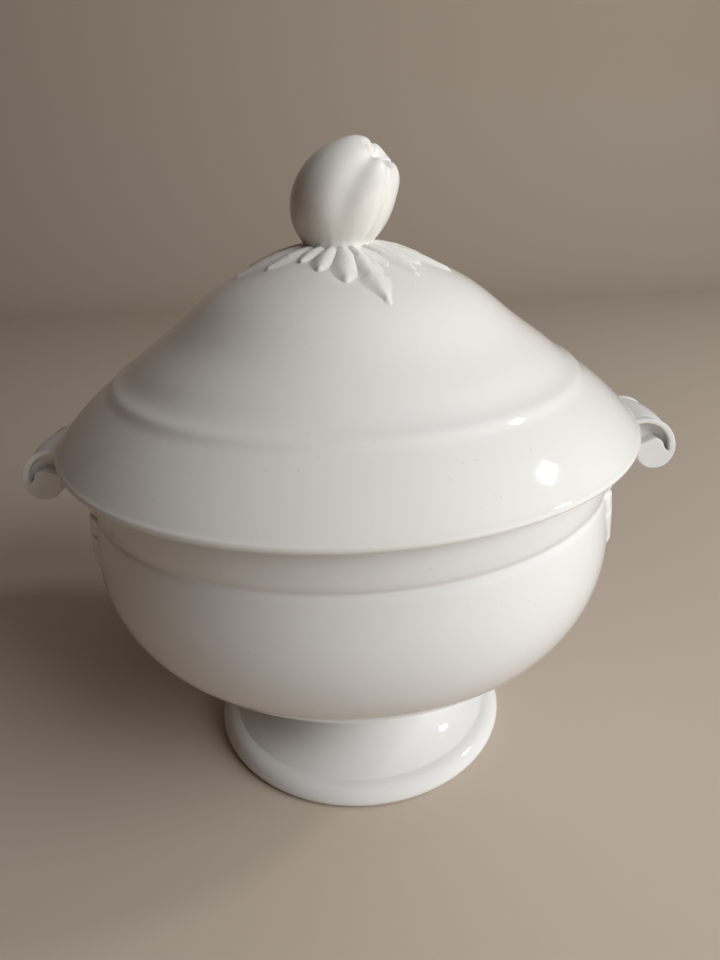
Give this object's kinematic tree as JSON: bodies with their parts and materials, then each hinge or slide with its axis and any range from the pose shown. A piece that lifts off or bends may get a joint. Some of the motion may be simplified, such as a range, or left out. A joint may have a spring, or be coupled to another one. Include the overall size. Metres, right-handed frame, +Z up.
{
  "type": "soup tureen",
  "caption": "Round white porcelain soup tureen on a pedestal foot, with scroll handles, and a domed lid with a flower bud knob and leaves.",
  "frame": {"origin": "centre of the foot ring, in the plane that the foot stands on", "axes": "+Z up along the axis of the bowl, +X through the right handle; the bud knob leans towards +X"},
  "size_m": [0.3044, 0.26, 0.2901],
  "materials": {
    "base_porcelain": "glossy clear glaze over white porcelain",
    "lid_porcelain": "glossy clear glaze over slightly warmer white porcelain"
  },
  "bodies": {
    "tureen_base": {"bowl": "base_porcelain", "pedestal_foot": "base_porcelain", "handle_left": "base_porcelain", "handle_right": "base_porcelain", "handle_left_leaf_1": "base_porcelain", "handle_left_leaf_2": "base_porcelain", "handle_left_leaf_3": "base_porcelain", "handle_left_leaf_4": "base_porcelain", "handle_left_leaf_5": "base_porcelain", "handle_right_leaf_1": "base_porcelain", "handle_right_leaf_2": "base_porcelain", "handle_right_leaf_3": "base_porcelain", "handle_right_leaf_4": "base_porcelain", "handle_right_leaf_5": "base_porcelain"},
    "tureen_lid": {"lid": "lid_porcelain", "bud_knob": "lid_porcelain", "knob_leaf_01": "lid_porcelain", "knob_leaf_02": "lid_porcelain", "knob_leaf_03": "lid_porcelain", "knob_leaf_04": "lid_porcelain", "knob_leaf_05": "lid_porcelain", "knob_leaf_06": "lid_porcelain", "knob_leaf_07": "lid_porcelain", "knob_leaf_08": "lid_porcelain", "knob_leaf_09": "lid_porcelain", "knob_leaf_10": "lid_porcelain", "knob_leaf_11": "lid_porcelain", "knob_leaf_12": "lid_porcelain", "knob_leaf_13": "lid_porcelain", "knob_leaf_14": "lid_porcelain", "knob_leaf_15": "lid_porcelain", "knob_leaf_16": "lid_porcelain", "knob_leaf_17": "lid_porcelain", "knob_leaf_18": "lid_porcelain"}
  },
  "joints": [
    {"name": "lid_lift", "type": "slide", "parent": "tureen_base", "child": "tureen_lid", "axis": [0, 0, 1], "range_m": [0, 0.12]}
  ]
}
